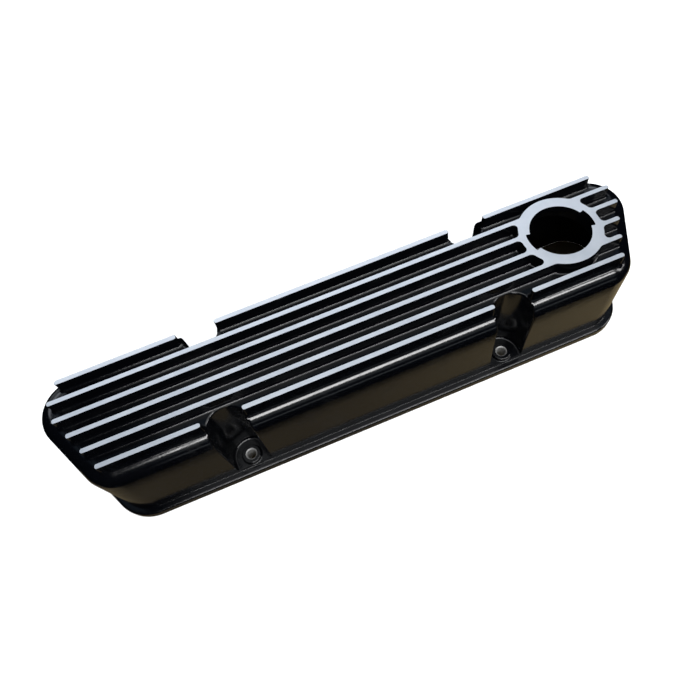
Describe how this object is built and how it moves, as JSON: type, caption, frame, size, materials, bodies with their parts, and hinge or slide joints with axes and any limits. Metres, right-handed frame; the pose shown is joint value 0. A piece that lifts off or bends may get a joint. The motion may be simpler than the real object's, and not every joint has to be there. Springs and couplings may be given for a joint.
{
  "type": "engine valve cover",
  "caption": "Cast aluminium engine valve cover, gloss black, with machined roof fins, a round oil filler opening and bolt pockets in its sides.",
  "frame": {"origin": "centre of the gasket face, midway between the four bolt holes", "axes": "+X along the engine towards the oil filler, +Y to the longer side, +Z from the gasket face up to the fins"},
  "size_m": [0.483, 0.1068, 0.0885],
  "materials": {
    "casting": "gloss"
  },
  "bodies": {
    "root": {"valve_cover": "casting"}
  },
  "joints": []
}
